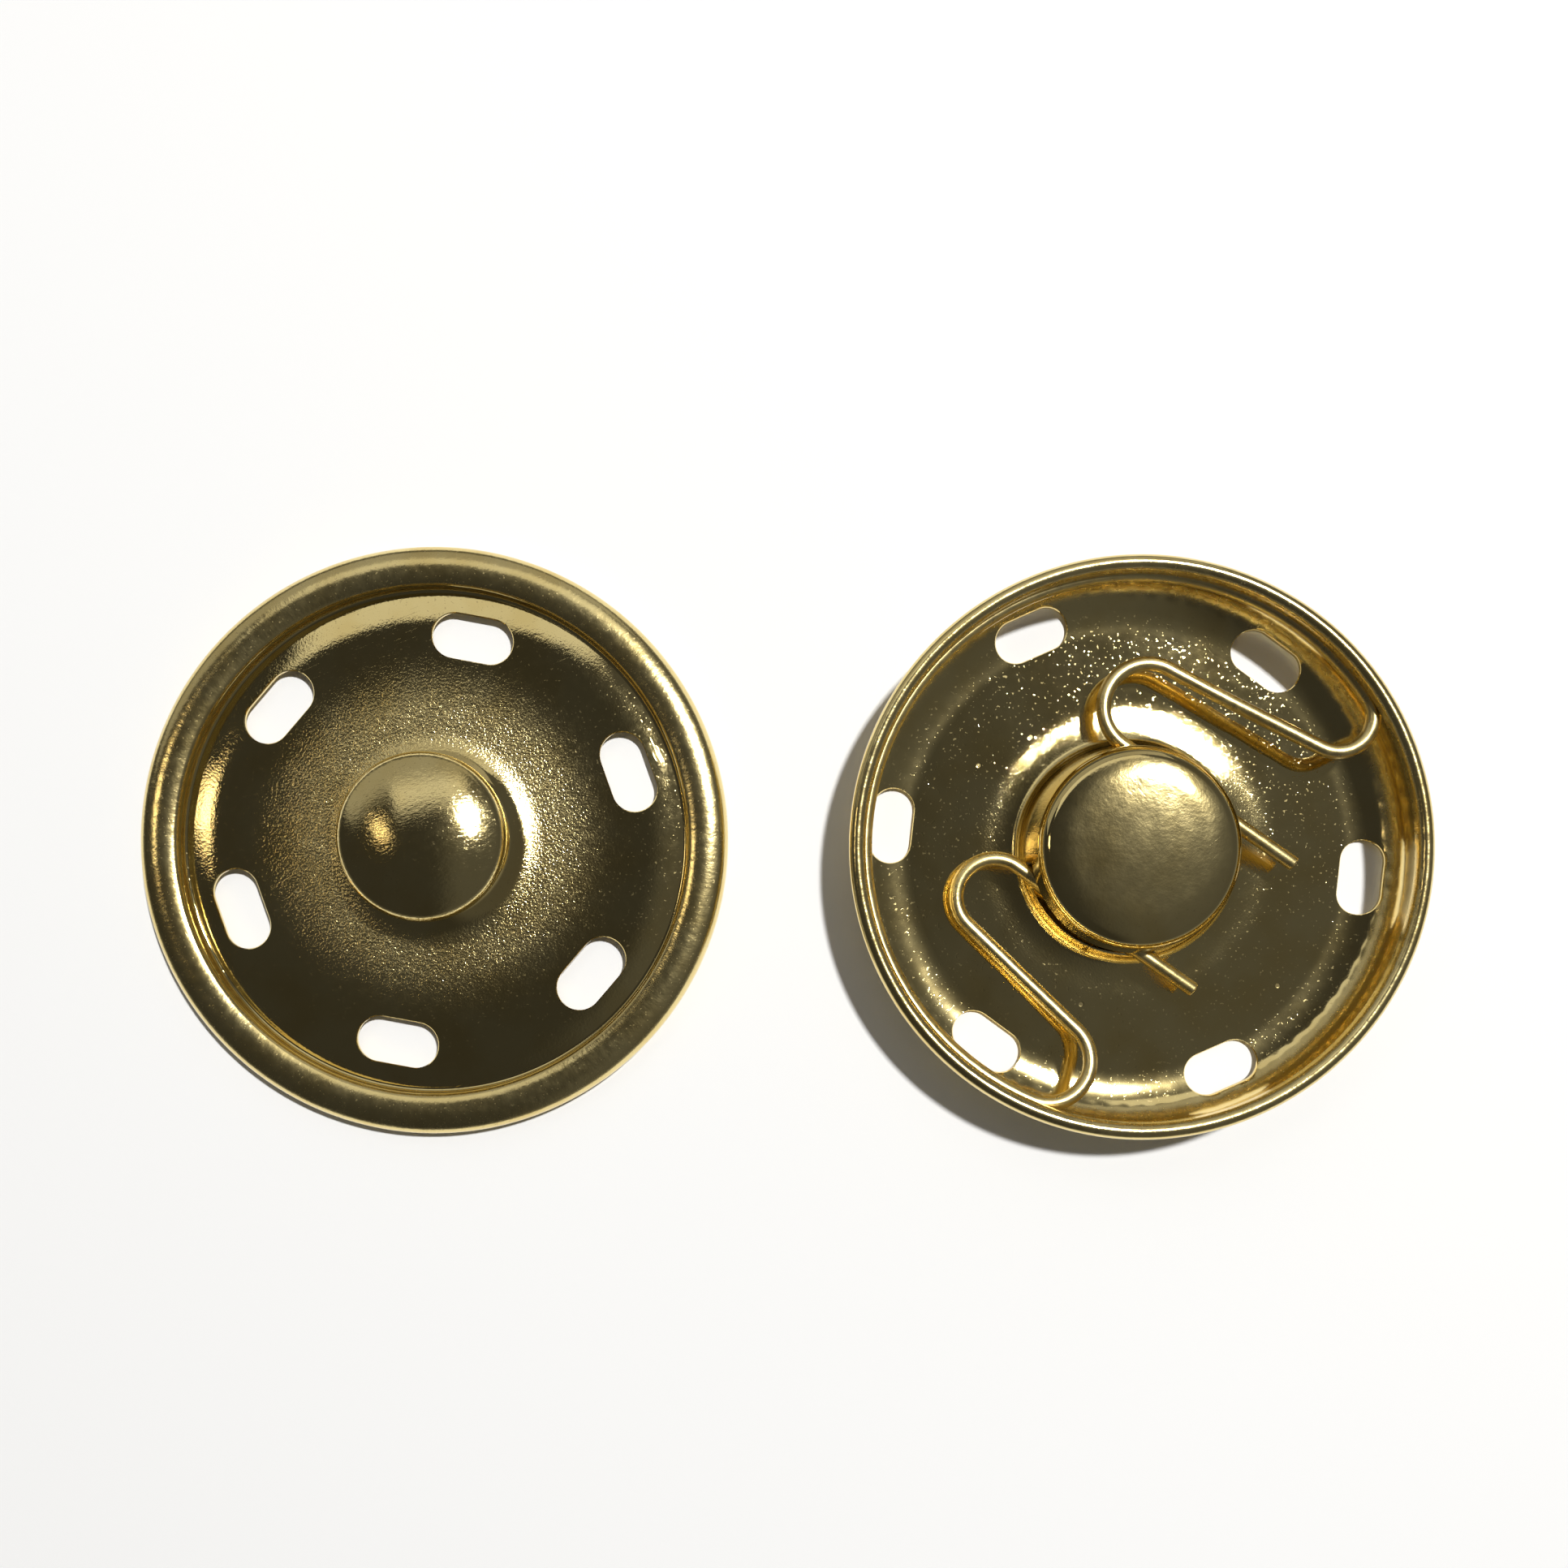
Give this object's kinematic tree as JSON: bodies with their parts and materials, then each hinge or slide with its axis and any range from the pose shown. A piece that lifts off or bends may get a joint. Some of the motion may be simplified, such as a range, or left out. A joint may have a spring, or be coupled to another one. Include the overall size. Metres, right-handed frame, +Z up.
{
  "type": "snap fastener",
  "caption": "Large sew-on snap fastener in brass-coloured metal: a stud half and a socket half with a wire spring, side by side.",
  "frame": {"origin": "middle of the bounding box of the two halves, on the plane that they lie on", "axes": "+X from the stud half to the socket half, +Z up, along the axes of both halves"},
  "size_m": [0.0642, 0.0296, 0.005],
  "materials": {
    "gilt_sheet": "polished",
    "gilt_wire": "polished"
  },
  "bodies": {
    "root": {"stud_half": "gilt_sheet", "socket_half": "gilt_sheet", "wire_spring": "gilt_wire"}
  },
  "joints": []
}
